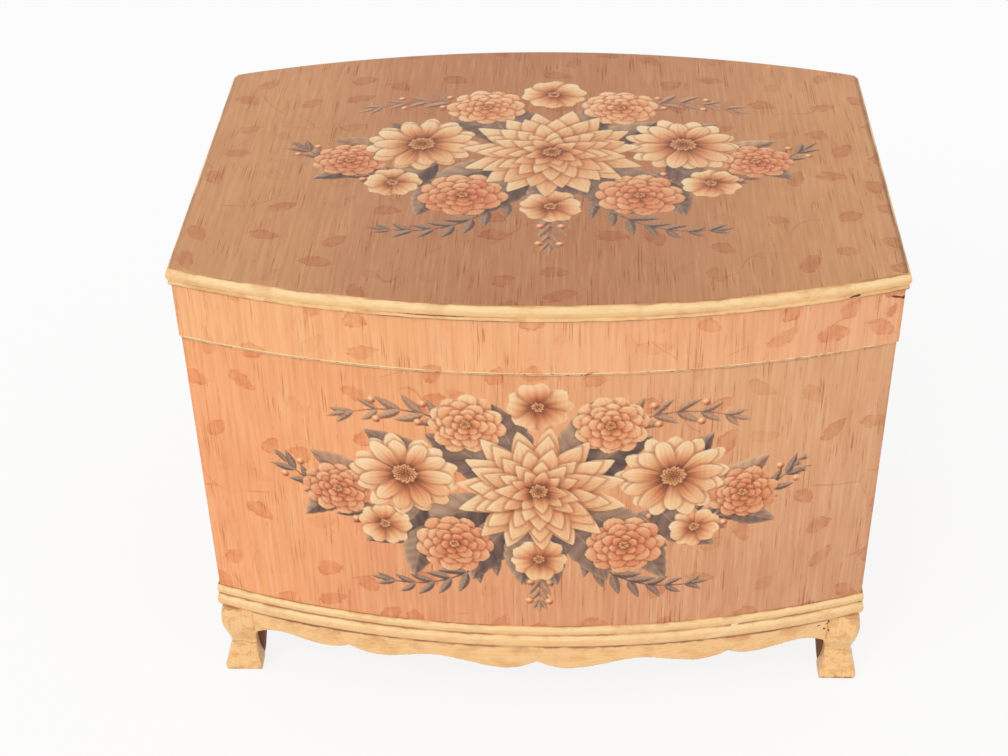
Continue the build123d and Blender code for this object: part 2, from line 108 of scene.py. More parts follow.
# Wiring of materials
class Nodes:
    """A node tree being wired. Most methods add nodes and return the last one's output."""

    def __init__(self, tree):
        self.tree = tree
        tree.nodes.clear()

    def add(self, kind, inputs=None, **settings):
        """A node itself, with its settings and what feed takes for its inputs."""
        node = self.tree.nodes.new(kind)
        for key, value in settings.items():
            setattr(node, key, value)
        self.feed(node, inputs or {})
        return node

    def feed(self, node, inputs):
        """Gives each named or numbered input a number, a colour or an output to follow."""
        for key, value in inputs.items():
            socket = node.inputs[key]
            if isinstance(value, bpy.types.NodeSocket):
                self.tree.links.new(value, socket)
            elif isinstance(value, tuple) and len(value) == 3 and len(socket.default_value) == 4:
                socket.default_value = (*value, 1.0)
            else:
                socket.default_value = value

    def math(self, operation, a, b=0.0):
        return self.add("ShaderNodeMath", {0: a, 1: b}, operation=operation).outputs[0]

    def plus(self, a, b):
        return self.math("ADD", a, b)

    def minus(self, a, b):
        return self.math("SUBTRACT", a, b)

    def over(self, a, b):
        return self.math("DIVIDE", a, b)

    def absolute(self, a):
        return self.math("ABSOLUTE", a)

    def product(self, *values):
        return reduce(partial(self.math, "MULTIPLY"), values)

    def either(self, *values):
        return reduce(partial(self.math, "MAXIMUM"), values)

    def ramp(self, value, low, high, out_low=0.0, out_high=1.0):
        """Smooth step of value from low to high; low may be the larger."""
        if low > high:
            low, high, out_low, out_high = high, low, out_high, out_low
        inputs = dict(enumerate((value, low, high, out_low, out_high)))
        return self.add("ShaderNodeMapRange", inputs, interpolation_type="SMOOTHSTEP").outputs[0]

    def band(self, value, centre, half_width, soft):
        """1 within half_width of centre, falling to 0 over soft."""
        return self.ramp(self.absolute(self.minus(value, centre)), half_width + soft, half_width)

    def mix(self, share, a, b, blend="MIX"):
        inputs = {0: share, 6: a, 7: b}
        return self.add("ShaderNodeMix", inputs, data_type="RGBA", blend_type=blend).outputs[2]

    def shade(self, share, colour, by):
        """The colour multiplied by another one, in part."""
        return self.mix(share, colour, by, "MULTIPLY")

    def place(self):
        """Position in the part's frame in millimetres, as x, y and z."""
        spot = self.add("ShaderNodeTexCoord").outputs["Object"]
        scaled = self.add("ShaderNodeVectorMath", {0: spot, "Scale": 1 / MM}, operation="SCALE")
        return self.split(scaled.outputs[0])

    def split(self, vector):
        return tuple(self.add("ShaderNodeSeparateXYZ", {0: vector}).outputs)

    def join(self, x, y, z=0.0):
        return self.add("ShaderNodeCombineXYZ", {0: x, 1: y, 2: z}).outputs[0]

    def noise(self, spot, size, detail=2.0, roughness=0.5):
        """Noise over spot = (x, y, z), stretched to size = (sx, sy, sz) in millimetres."""
        vector = self.join(*(self.over(axis, long) for axis, long in zip(spot, size)))
        inputs = {"Vector": vector, "Scale": 1.0, "Detail": detail, "Roughness": roughness}
        return self.add("ShaderNodeTexNoise", inputs).outputs["Fac"]

    def cells(self, vector, feature, randomness=1.0):
        """All outputs of a flat pattern of cells."""
        inputs = {"Vector": vector, "Scale": 1.0, "Randomness": randomness}
        kind = "ShaderNodeTexVoronoi"
        return self.add(kind, inputs, voronoi_dimensions="2D", feature=feature).outputs

    def bump(self, height, distance):
        """Normal tilted by a height of 0 to 1 that stands for distance in millimetres."""
        inputs = {"Distance": distance * MM, "Height": height}
        return self.add("ShaderNodeBump", inputs).outputs[0]


def material(name):
    """A material with a principled shader, as (material, nodes, shader)."""
    made = bpy.data.materials.new(name)
    made.use_nodes = True
    wired = Nodes(made.node_tree)
    shader = wired.add("ShaderNodeBsdfPrincipled")
    wired.add("ShaderNodeOutputMaterial", {"Surface": shader.outputs[0]}, name="output")
    return made, wired, shader


# Colours, as a screen shows them
# the front and the skirt are lighter on the left, partly by painted light and partly by the paint's own
# tone, and the top is darker partly by painted shade
front_left_paint_and_light = linear(252, 174, 118)
front_right_paint_and_shade = linear(230, 171, 125)
skirt_left_paint_and_light = linear(255, 186, 128)
skirt_right_paint_and_shade = linear(246, 178, 130)
top_side_paint_and_shade = linear(214, 155, 107)
top_middle_paint_and_shade = linear(195, 134, 92)
trim_paint = linear(249, 199, 136)
# the trim's pale streaks, and its painted highlights along the tops of the beads
trim_pale_and_highlight = linear(255, 226, 172)
antique_brown = linear(142, 88, 50)
dark_chip = linear(104, 48, 30)
gesso = linear(252, 222, 176)
worn_cream = linear(255, 226, 166)
raw_wood = linear(205, 164, 116)
raw_wood_dark = linear(170, 124, 80)
stained_wood = linear(132, 88, 66)
stained_wood_dark = linear(84, 54, 44)
brass_colour = linear(196, 156, 88)

# Shades that multiply the colour below them
front_low_shade = (0.90, 0.86, 0.90)
cloud_shade = (0.92, 0.86, 0.83)
drag_shade = (0.86, 0.78, 0.73)
hair_shade = (0.73, 0.53, 0.42)
leaf_shade = (0.86, 0.66, 0.57)
leaf_rim_shade = (0.80, 0.58, 0.50)
crack_shade = (0.74, 0.58, 0.48)
veil_shade = (0.84, 0.77, 0.72)
corner_shade = (0.80, 0.56, 0.42)
pore_shade = (0.70, 0.60, 0.52)
brush_shade = (0.90, 0.80, 0.68)
patina = (0.86, 0.74, 0.62)
# painted shade and grime beside the trim's brown lines
painted_shade_and_grime = (0.74, 0.58, 0.44)
tarnish_shade = (0.45, 0.36, 0.26)


def streaked(wired, spot, along, paint, dark_share, pale_share):
    """Paint dragged with a coarse brush: hairlines in clusters that run along one axis."""
    cloud = wired.noise(spot, stretched(along, 30.0, 70.0), 3.0, 0.55)
    drag = wired.noise(spot, stretched(along, 2.6, 55.0), 2.0, 0.5)
    hair = wired.noise(spot, stretched(along, 0.80, 32.0), 1.0, 0.5)
    patch = wired.noise(spot, stretched(along, 10.0, 30.0), 3.0, 0.6)
    bitten = wired.ramp(patch, 0.48, 0.62, 0.08, 1.0)
    clouded = wired.ramp(cloud, 0.36, 0.66, 0.0, 0.55)
    colour = wired.shade(clouded, paint, cloud_shade)
    dragged = wired.ramp(drag, 0.48, 0.66, 0.0, 0.46)
    colour = wired.shade(dragged, colour, drag_shade)
    colour = wired.mix(wired.ramp(drag, 0.46, 0.32, 0.0, pale_share * 0.65), colour, gesso)
    dark = wired.product(wired.ramp(hair, 0.56, 0.70), bitten, dark_share)
    colour = wired.shade(dark, colour, hair_shade)
    pale = wired.product(wired.ramp(hair, 0.42, 0.28), bitten, pale_share)
    colour = wired.mix(pale, colour, gesso)
    relief = wired.minus(wired.product(drag, 0.6), wired.product(dark, 0.8))
    return colour, relief


def leaf_blotches(wired, across, up, colour, spacing=37.0):
    """Scattered washes in the shape of small leaves, one to a cell, each turned its own way."""
    vector = wired.join(wired.over(across, spacing), wired.over(up, spacing))
    cells = wired.cells(vector, "F1", 0.66)
    centre_x, centre_y, _ = wired.split(cells["Position"])
    chance, chance_size, chance_tone = wired.split(cells["Color"])
    here_x, here_y, _ = wired.split(vector)
    off_x = wired.product(wired.minus(here_x, centre_x), spacing)
    off_y = wired.product(wired.minus(here_y, centre_y), spacing)
    turn = wired.product(wired.minus(chance, 0.5), 2.6)
    cosine = wired.math("COSINE", turn)
    sine = wired.math("SINE", turn)
    along = wired.plus(wired.product(off_x, cosine), wired.product(off_y, sine))
    aside = wired.minus(wired.product(off_y, cosine), wired.product(off_x, sine))
    half_length = wired.plus(wired.product(chance_size, 4.2), 7.6)
    half_width = wired.plus(wired.product(chance_tone, 2.4), 4.4)
    u = wired.over(along, half_length)
    bow = wired.minus(wired.product(chance_tone, 5.0), 2.5)
    bend = wired.product(u, u, bow)
    taper = wired.minus(half_width, wired.product(u, 1.5))
    v = wired.over(wired.plus(aside, bend), taper)
    ragged = wired.noise((across, up, 0.0), (4.2, 4.2, 1.0), 3.0, 0.6)
    pool = wired.noise((across, up, 0.0), (7.5, 7.5, 1.0), 2.0, 0.5)
    ring = wired.plus(wired.product(u, u), wired.math("POWER", wired.absolute(v), 1.5))
    ring = wired.plus(ring, wired.ramp(ragged, 0.3, 0.7, -0.24, 0.24))
    inside = wired.ramp(ring, 1.06, 0.84)
    edge = wired.product(inside, wired.ramp(ring, 0.50, 0.90))
    strength = wired.product(
        wired.ramp(chance_tone, 0.03, 0.45, 0.15, 1.0), wired.ramp(pool, 0.28, 0.64, 0.50, 1.0)
    )
    colour = wired.shade(wired.product(inside, strength, 0.80), colour, leaf_shade)
    pooled = wired.product(edge, strength, wired.ramp(pool, 0.42, 0.60), 0.55)
    return wired.shade(pooled, colour, leaf_rim_shade)


def hair_cracks(wired, across, up, colour):
    """A few thin lines that wander through the paint."""
    # how far the lines wander, over what length, and how far apart they are
    sway, swing, cell = 15.0, (42.0, 42.0, 1.0), 110.0
    sway_x = wired.ramp(wired.noise((across, up, 0.0), swing, 0.0), 0.2, 0.8, -sway, sway)
    sway_y = wired.ramp(wired.noise((up, across, 9.0), swing, 0.0), 0.2, 0.8, -sway, sway)
    vector = wired.join(
        wired.over(wired.plus(across, sway_x), cell),
        wired.over(wired.plus(up, sway_y), cell),
    )
    cells = wired.cells(vector, "DISTANCE_TO_EDGE")
    line = wired.ramp(cells["Distance"], 0.0075, 0.0035)
    shown = wired.ramp(wired.noise((across, up, 4.0), (34.0, 34.0, 1.0), 2.0), 0.52, 0.62, 0.0, 0.55)
    return wired.shade(wired.product(line, shown), colour, crack_shade)


def marked(wired, across, up, colour, marks):
    """Single chips and nicks. Each has its place, half sizes, slope and colour."""
    if not marks:
        return colour
    ragged = wired.noise((across, up, 0.0), (1.8, 1.8, 1.0), 3.0, 0.6)
    for mark_x, mark_z, half_x, half_z, slope, tone in marks:
        off_x = wired.minus(across, mark_x)
        off_z = wired.minus(wired.minus(up, mark_z), wired.product(off_x, slope))
        u = wired.over(off_x, half_x)
        v = wired.over(off_z, half_z)
        far = wired.plus(wired.product(u, u), wired.product(v, v))
        far = wired.plus(far, wired.ramp(ragged, 0.3, 0.7, -0.45, 0.45))
        colour = wired.mix(wired.ramp(far, 1.15, 0.75), colour, tone)
    return colour


def ground(wired, facing, spot, level, sideways, paint_and_light_tones):
    """The streaked ground with its leaves and cracks, as colour and relief."""
    x, y, z = spot
    if facing == "top":
        # the top's tones, darker than the front and darkest in the middle, are partly painted shade
        paint = wired.mix(wired.ramp(wired.absolute(x), 40.0, 215.0), *paint_and_light_tones)
        seen_from_above = wired.either(level, wired.ramp(z, lid_high.z / MM - 1.3, lid_high.z / MM - 0.9))
        paint = wired.mix(seen_from_above, skirt_right_paint_and_shade, paint)
        colour, relief = streaked(wired, spot, 1, paint, 0.90, 0.13)
        across, up = x, y
    else:
        # lighter toward the left, partly painted light from the left and partly the paint's own tone
        paint = wired.mix(wired.ramp(x, -235.0, 235.0), *paint_and_light_tones)
        # darker toward the bottom on the left of the front, partly painted shade
        low = wired.product(wired.ramp(z, 240.0, 95.0), wired.ramp(x, -215.0, -60.0))
        paint = wired.shade(low, paint, front_low_shade)
        colour, relief = streaked(wired, spot, 2, paint, 0.95, 0.22)
        across = wired.plus(wired.ramp(sideways, 0.0, 1.0, x, y), 11.0)
        up = wired.plus(z, 3.0)
    colour = leaf_blotches(wired, across, up, colour)
    return hair_cracks(wired, across, up, colour), relief


def worn_rim(wired, spot, colour, rim_z, worn_z, chips, grime):
    """A cream edge broken by dark flecks, with a darker brown band along the rim."""
    x, _, z = spot
    near = wired.product(wired.band(z, rim_z, 0.4, 2.2), wired.ramp(grime, 0.45, 0.62), 0.45)
    colour = wired.mix(near, colour, antique_brown)
    # the line breaks up toward the right
    broken = wired.ramp(wired.plus(wired.product(x, 0.0006), chips), 0.64, 0.54, 0.12, 1.0)
    patchy = wired.ramp(grime, 0.36, 0.52, 0.25, 1.0)
    colour = wired.mix(wired.product(wired.band(z, worn_z, 0.28, 0.2), broken, patchy), colour, worn_cream)
    fleck = wired.product(wired.band(z, rim_z + 0.2, 0.7, 0.4), wired.ramp(chips, 0.59, 0.65))
    return wired.mix(wired.product(fleck, 0.85), colour, dark_chip)


def rubbed_corners(wired, facing, spot, colour, radius, half, sideways, chips, grime):
    """Upright corners, and the side edges of the top, rubbed darker."""
    x, y, _ = spot
    corner_x = wired.ramp(wired.absolute(x), half / MM - 3.4, half / MM - 0.3)
    if facing == "top":
        toward_right = wired.ramp(x, -200.0, 200.0, 0.10, 0.60)
        rubbed = wired.product(corner_x, toward_right, wired.ramp(grime, 0.35, 0.60, 0.4, 1.0))
        return wired.mix(rubbed, colour, antique_brown)
    corner_place = reach(radius, half) / MM
    corner_y = wired.ramp(wired.absolute(y), corner_place - 3.4, corner_place - 0.3)
    corner = wired.ramp(sideways, 0.0, 1.0, corner_x, corner_y)
    rubbed = wired.product(corner, wired.ramp(chips, 0.44, 0.60, 0.10, 0.55))
    return wired.shade(rubbed, colour, corner_shade)


def outer_skin(wired, facing, spot, radius, half):
    """1 on the painted outside and 0 inside, and the place that the grain inside follows."""
    x, y, z = spot
    if facing == "top":
        return wired.ramp(z, lid_low.z / MM + 0.2, lid_low.z / MM + 0.4), spot
    if facing == "side":
        inner = half / MM - paint_depth
        return wired.ramp(wired.absolute(x), inner - 0.1, inner + 0.1), spot
    off = wired.minus(y, bow_centre / MM if facing == "front" else -bow_centre / MM)
    far = wired.math("SQRT", wired.plus(wired.product(x, x), wired.product(off, off)))
    inner = radius / MM - paint_depth
    outside = wired.ramp(far, inner - 0.1, inner + 0.1)
    ends = wired.ramp(wired.absolute(x), half / MM - 0.3, half / MM - 0.2)
    return wired.either(outside, ends), (x, far, z)


def painted_case(name, facing, radius, half, paint_and_light_tones, rim_z=None, artwork=False, marks=()):
    """Streaked paint outside, bare wood inside. facing is front, back, side or top.

    rim_z is the height of the rim where the paint has worn to cream."""
    made, wired, shader = material(name)
    spot = wired.place()
    x, _, z = spot
    normal_x, _, normal_z = wired.split(wired.add("ShaderNodeTexCoord").outputs["Normal"])
    level = wired.ramp(wired.absolute(normal_z), 0.8, 0.95)
    # the ends of the front and the back show at the sides of the case
    sideways = wired.ramp(wired.absolute(normal_x), 0.75, 0.9)
    colour, relief = ground(wired, facing, spot, level, sideways, paint_and_light_tones)

    if artwork:
        drawn = wired.add("ShaderNodeAttribute", attribute_name="artwork")
        # the drag of the brush shows through the drawing
        veil = wired.ramp(relief, 0.12, 0.34, 0.30, 0.0)
        veiled = wired.shade(veil, drawn.outputs["Color"], veil_shade)
        colour = wired.mix(drawn.outputs["Alpha"], colour, veiled)

    chips = wired.noise(spot, (5.0, 5.0, 2.2), 3.0, 0.6)
    grime = wired.noise(spot, (18.0, 18.0, 18.0), 3.0, 0.55)
    if rim_z is not None:
        # on the lid the worn line lies just above its rounded edge
        worn_z = rim_z + 1.5 if radius > chest_radius else rim_z - 0.3
        colour = worn_rim(wired, spot, colour, rim_z, worn_z, chips, grime)
    colour = rubbed_corners(wired, facing, spot, colour, radius, half, sideways, chips, grime)
    colour = marked(wired, x, z, colour, marks)

    # paint outside, bare wood inside, cream on the rims
    outside, board = outer_skin(wired, facing, spot, radius, half)
    wood, wood_relief = bare_wood(wired, board, 0 if facing != "side" else 1, raw_wood, raw_wood_dark)
    colour = wired.mix(outside, wood, colour)
    if facing != "top":
        rim_tone = wired.mix(wired.ramp(grime, 0.30, 0.75, 0.1, 0.8), trim_paint, raw_wood)
        colour = wired.mix(level, colour, rim_tone)

    shine = {"Specular IOR Level": 0.35, "Roughness": wired.ramp(relief, -0.2, 0.5, 0.60, 0.44)}
    raised = wired.plus(wired.product(relief, outside), wood_relief)
    wired.feed(shader, {"Base Color": colour, "Normal": wired.bump(raised, 0.12), **shine})
    return made


def bare_wood(wired, spot, along, pale, dark):
    """Colour and relief of plain boards with the grain along one axis."""
    grain = wired.noise(spot, stretched(along, 5.5, 150.0), 4.0, 0.6)
    pores = wired.noise(spot, stretched(along, 0.7, 42.0), 2.0, 0.5)
    colour = wired.mix(wired.ramp(grain, 0.34, 0.76), pale, dark)
    colour = wired.shade(wired.ramp(pores, 0.58, 0.74, 0.0, 0.4), colour, pore_shade)
    return colour, wired.product(pores, 0.6)


def wood_material(name, along, pale, dark):
    made, wired, shader = material(name)
    colour, relief = bare_wood(wired, wired.place(), along, pale, dark)
    bumps = wired.bump(relief, 0.15)
    wired.feed(shader, {"Base Color": colour, "Roughness": 0.72, "Normal": bumps})
    return made


def trim(name, along, lines=(), highlight_crowns=(), wobble=0.6, marks=(), aged=0.50, patch=17.0, shade_and_grime_spread=2.6):
    """Golden paint over mouldings and carving, with brown glaze left in the hollows.

    lines are heights with the half width of the brown line there, its least and its most
    strength, and beside each line lies a band of painted shade and grime.
    highlight_crowns are heights with the half width of a pale band, partly painted highlight
    and partly rubbed paint. aged is the strength of the patina, patch the size of its clouds,
    and shade_and_grime_spread how far the painted shade and grime spread beside a line."""
    made, wired, shader = material(name)
    spot = wired.place()
    x, _, z = spot
    brush = wired.noise(spot, stretched(along, 1.1, 60.0), 3.0, 0.6)
    cloud = wired.noise(spot, (patch, patch, patch * 0.7), 3.0, 0.6)
    stretch = wired.noise(spot, (34.0, 34.0, 30.0), 2.0, 0.5)
    fleck = wired.noise(spot, (3.4, 3.4, 2.2), 2.0, 0.55)
    sway = wired.noise(spot, (9.0, 9.0, 40.0), 2.0, 0.5)
    level = wired.plus(z, wired.ramp(sway, 0.25, 0.75, -wobble / 2, wobble / 2))
    colour = wired.mix(wired.ramp(brush, 0.42, 0.66, 0.0, 0.28), trim_paint, trim_pale_and_highlight)
    # painted highlight along the top of each bead, partly rubbed paint
    for crown_z, half_width in highlight_crowns:
        crown = wired.band(level, crown_z, half_width * 0.4, half_width)
        crown_highlight = wired.product(crown, wired.ramp(stretch, 0.3, 0.62, 0.40, 0.70))
        colour = wired.mix(crown_highlight, colour, trim_pale_and_highlight)
    colour = wired.shade(wired.ramp(brush, 0.48, 0.34, 0.0, 0.40), colour, brush_shade)
    smear = wired.ramp(cloud, 0.47, 0.74 - aged * 0.10, 0.0, aged)
    colour = wired.shade(smear, colour, patina)
    for line_z, half_width, least, most in lines:
        # a band of painted shade and grime beside the line, where the trim meets another part or turns in
        beside = wired.band(level, line_z, half_width, shade_and_grime_spread)
        beside = wired.product(beside, wired.ramp(cloud, 0.46, 0.62), most, 0.55)
        colour = wired.shade(beside, colour, painted_shade_and_grime)
        wiped = wired.band(level, line_z, half_width, half_width + 0.3)
        wiped = wired.product(wiped, wired.ramp(stretch, 0.36, 0.60, least, most))
        colour = wired.mix(wiped, colour, antique_brown)
    colour = wired.mix(wired.ramp(fleck, 0.745, 0.79, 0.0, 0.75), colour, antique_brown)
    colour = marked(wired, x, z, colour, marks)
    shine = {"Specular IOR Level": 0.45, "Roughness": wired.ramp(brush, 0.3, 0.7, 0.24, 0.42)}
    uneven = wired.plus(wired.product(brush, 0.4), wired.product(cloud, 0.8))
    wired.feed(shader, {"Base Color": colour, "Normal": wired.bump(uneven, 0.16), **shine})
    return made


def metal(name, colour, roughness):
    """Rubbed metal with fine scratches and darker tarnish."""
    made, wired, shader = material(name)
    spot = wired.place()
    scratches = wired.noise(spot, (9.0, 0.35, 0.35), 2.0, 0.6)
    tarnish = wired.noise(spot, (4.0, 4.0, 4.0), 3.0, 0.6)
    tone = wired.shade(wired.ramp(tarnish, 0.45, 0.70, 0.0, 0.7), colour, tarnish_shade)
    shine = {"Metallic": 1.0, "Roughness": wired.ramp(scratches, 0.3, 0.7, roughness, roughness + 0.2)}
    wired.feed(shader, {"Base Color": tone, "Normal": wired.bump(scratches, 0.03), **shine})
    return made


# A drawing painted stroke by stroke on a grid
def step(value, low, high):
    """Smooth step of numpy values from low to high; low may be the larger."""
    share = np.clip((value - low) / (high - low), 0.0, 1.0)
    return share * share * (3 - 2 * share)


class Canvas:
    """A grid of paint over a panel, in millimetres: columns along x and rows along y."""

    def __init__(self, xs, ys, ground):
        self.xs = xs
        self.ys = ys
        self.rgb = np.empty((len(xs), len(ys), 3))
        self.rgb[:] = ground
        self.cover = np.zeros((len(xs), len(ys)))

    def window(self, x, y, spread):
        """The rows and columns near a point, and their places from it."""
        columns = slice(*np.searchsorted(self.xs, (x - spread, x + spread)))
        rows = slice(*np.searchsorted(self.ys, (y - spread, y + spread)))
        return (columns, rows), self.xs[columns][:, None] - x, self.ys[rows][None, :] - y

    def lay(self, part, colour, cover):
        self.rgb[part] += (colour - self.rgb[part]) * cover[..., None]
        self.cover[part] += (1 - self.cover[part]) * cover


# direction that the light in the drawing comes from
light_x, light_y = -0.55, 0.83
# range of the random turns, and the golden angle between the dots of an eye
any_turn = 6.28
eye_turn = 2.39996
# leaves wider than this have a pale margin
broad_leaf = 15.0
berry_radius = 3.0


def toned(tones, level):
    """Colour at a level from 0 to 1 along a row of tones, dark to light."""
    places = np.linspace(0, 1, len(tones))
    return np.stack([np.interp(level, places, [tone[i] for tone in tones]) for i in range(3)], -1)


def petal(canvas, x, y, turn, length, width, tones, tip, chance, squash, lift):
    """One petal from (x, y), pointing along turn. tip is round, point or notch."""
    cosine, sine = math.cos(turn), math.sin(turn)
    part, far_x, far_y = canvas.window(x, y, length * 1.1)
    far_y = far_y / squash
    u = (far_x * cosine + far_y * sine) / length
    v = -far_x * sine + far_y * cosine
    v = v - width * 0.10 * chance.uniform(-1, 1) * u * u
    s = np.clip(u, 0.0, 1.0)
    if tip == "point":
        half = np.sin(np.pi * s**0.72) ** 0.80
    else:
        belly = 0.62
        half = np.where(
            s < belly,
            0.30 + 0.70 * step(s, 0.0, belly),
            np.sqrt(np.clip(1 - ((s - belly) / (1 - belly)) ** 2, 0, 1)),
        )
    phase = chance.uniform(0, any_turn)
    half = half * (1 + 0.05 * np.sin(10 * s + phase))
    if tip == "notch":
        aside = np.clip(np.abs(v) / (0.5 * width), 0, 1)
        half = np.where(s > 0.86 + 0.10 * np.sqrt(aside), 0.0, half)
    half = half * width / 2
    gap = half - np.abs(v)
    cover = step(gap, -0.1, 0.7) * (u > 0) * (u < 1)
    # the shadow that it throws on the petals below
    beyond_tip = step(u, 1.0, 1.0 + 3.0 / length)
    shade = step(gap, -3.4, 0.4) * step(u, -0.02, 0.12) * (1 - beyond_tip) * 0.80
    shade = shade * canvas.cover[part]
    warm = np.array(tones[0]) * 0.15 + np.array(tones[1]) * 0.75
    canvas.lay(part, np.minimum(canvas.rgb[part] * 0.72, warm), shade)
    side = np.clip(v / np.maximum(half, 0.3), -1.2, 1.2)
    side_lit = -sine * light_x + cosine * light_y
    tip_lit = cosine * light_x + sine * light_y
    lit = side * side_lit * 0.5 + (s - 0.4) * tip_lit * 0.5
    # from dark at the root to pale at the tip, with a crease, veins, a pale rim and an outline
    level = 0.06 + 0.74 * step(s, 0.02, 0.92) + 0.34 * lit + lift
    level -= 0.16 * np.exp(-((v / (0.10 * width)) ** 2)) * (1 - s)
    level += 0.05 * np.sin(side * 12 + phase + 2.5 * s) * step(s, 0.1, 0.5)
    level += 0.22 * step(gap, 1.5, 0.2) * step(s, 0.45, 0.85)
    level -= 0.14 * step(gap, 0.5, 0.0)
    canvas.lay(part, toned(tones, level), cover)


def leaf(canvas, x, y, turn, length, width, tones, chance, toothed=False):
    """A leaf with a bent midrib, side veins and one lit half."""
    cosine, sine = math.cos(turn), math.sin(turn)
    part, far_x, far_y = canvas.window(x, y, length * 1.15)
    u = (far_x * cosine + far_y * sine) / length
    v = -far_x * sine + far_y * cosine
    bend = chance.uniform(-0.22, 0.22) * width
    v = v - bend * np.sin(np.pi * np.clip(u, 0, 1))
    s = np.clip(u, 0.0, 1.0)
    half = np.sin(np.pi * s**0.78) ** 0.85
    if toothed:
        half = half * (0.93 + 0.09 * np.abs(np.sin(s * math.pi * 6.5)))
    half = half * width / 2
    gap = half - np.abs(v)
    cover = step(gap, -0.1, 0.7) * (u > 0) * (u < 1)
    shade = step(gap, -2.2, 0.4) * (u > 0) * (u < 1.04) * 0.35 * canvas.cover[part]
    canvas.lay(part, np.array(tones[0]) * 0.8, shade)
    side = np.clip(v / np.maximum(half, 0.3), -1, 1)
    side_lit = -sine * light_x + cosine * light_y
    level = 0.38 + 0.30 * np.tanh(4 * side) * side_lit + 0.14 * np.sin(np.pi * s)
    if width > broad_leaf:
        level += 0.16 * step(gap, 3.6, 0.9) * step(s, 0.15, 0.5)
    sway = 0.22 * np.sin(7.0 * s + chance.uniform(0, any_turn))
    veins = np.abs(np.sin((s * 6.0 - np.abs(side) * 0.9 + sway) * math.pi))
    # dark veins with pale flesh between, a pale midrib, an outline and a paler tip
    level -= 0.13 * (1 - step(veins, 0.0, 0.35)) * step(gap, 0.2, 1.2)
    level += 0.08 * step(veins, 0.70, 1.0)
    level += 0.30 * np.exp(-((v / 0.55) ** 2)) * (1 - 0.5 * s)
    level -= 0.30 * step(gap, 0.6, 0.0)
    level += 0.10 * step(s, 0.6, 1.0)
    canvas.lay(part, toned(tones, level), cover)


def curve_points(start, middle, end, gap=0.45):
    """Points of the arc from start to end that leans toward middle."""
    start, middle, end = np.array(start), np.array(middle), np.array(end)
    count = int((np.linalg.norm(middle - start) + np.linalg.norm(end - middle)) / gap)
    t = np.linspace(0, 1, count)[:, None]
    return (1 - t) ** 2 * start + 2 * t * (1 - t) * middle + t**2 * end


def stem(canvas, points, width_start, width_end, tones):
    """A tapering stem along points."""
    count = len(points)
    for i, (x, y) in enumerate(points):
        width = width_start + (width_end - width_start) * i / count
        part, far_x, far_y = canvas.window(x, y, width + 1.5)
        far = np.hypot(far_x, far_y)
        cover = step(far, width / 2 + 0.4, width / 2 - 0.3)
        level = 0.42 + 0.45 * (far_x * light_x + far_y * light_y) / max(width, 0.5)
        canvas.lay(part, toned(tones, level), cover)


def berry(canvas, x, y, radius, tones):
    """A round berry with a highlight and a dark tip."""
    part, far_x, far_y = canvas.window(x, y, radius * 1.5 + 1)
    far = np.hypot(far_x, far_y)
    shade = step(far, radius + 1.8, radius) * 0.35 * canvas.cover[part]
    canvas.lay(part, np.array(tones[0]) * 0.8, shade)
    level = 0.50 + 0.42 * (far_x * light_x + far_y * light_y) / radius - 0.22 * (far / radius) ** 2
    off_x = far_x - light_x * radius * 0.4
    off_y = far_y - light_y * radius * 0.4
    shine = np.exp(-(off_x**2 + off_y**2) / (0.18 * radius**2))
    canvas.lay(part, toned(tones, level + 0.45 * shine), step(far, radius + 0.3, radius - 0.4))
    part, far_x, far_y = canvas.window(x + radius * 0.35, y - radius * 0.4, radius)
    canvas.lay(part, np.array(tones[0]) * 0.6, step(np.hypot(far_x, far_y), radius * 0.26, radius * 0.10))


def florets(canvas, x, y, radius, tones, squash):
    """The eye of a bloom: small dots wound outward in a spiral."""
    part, far_x, far_y = canvas.window(x, y, radius * 1.6)
    far = np.hypot(far_x, far_y / squash)
    canvas.lay(part, np.array(tones[0]) * 0.8, step(far, radius * 1.45, radius * 0.7) * 0.75)
    canvas.lay(part, toned(tones, 0.15 + 0.3 * far / radius), step(far, radius, radius - 0.8))
    count = int(10 + radius * 6)
    for i in range(count):
        out = radius * math.sqrt((i + 0.5) / count)
        turn = i * eye_turn
        dot = 0.55 + 0.09 * radius * (0.4 + 0.6 * out / radius)
        dot_x = x + out * math.cos(turn)
        dot_y = y + squash * out * math.sin(turn)
        part, far_x, far_y = canvas.window(dot_x, dot_y, dot * 1.6)
        far = np.hypot(far_x, far_y)
        level = 0.35 + 0.5 * out / radius + 0.5 * (far_x * light_x + far_y * light_y) / dot
        canvas.lay(part, toned(tones, level), step(far, dot, dot * 0.5))


def bloom(canvas, x, y, radius, rings, tones, eye_tones, tip, chance, squash, eye):
    """A bloom in rings of petals, drawn from the outermost ring inward.

    rings holds (petals, inner end, outer end, width), the last three as shares of radius,
    as eye is. squash is the bloom's height as a share of its width."""
    for depth, (count, inner, outer, width) in enumerate(rings):
        offset = chance.uniform(0, any_turn)
        order = list(range(0, count, 2)) + list(range(1, count, 2))
        for i in order:
            turn = offset + 2 * math.pi * i / count + chance.uniform(-0.07, 0.07)
            start = radius * inner
            length = radius * (outer - inner) * chance.uniform(0.93, 1.07)
            base_x = x + start * math.cos(turn)
            base_y = y + start * math.sin(turn) * squash
            lift = chance.uniform(-0.08, 0.08) - 0.03 * depth
            blush = chance.uniform(0.0, 0.5)
            tinted = np.array(tones) * (1 - blush) + np.array(peach_tones) * blush
            petal(canvas, base_x, base_y, turn, length, radius * width, tinted, tip, chance, squash, lift)
    florets(canvas, x, y, radius * eye, eye_tones, squash)


# Tones of the drawing, dark to light
def tone_row(*colours):
    return [linear(*colour) for colour in colours]


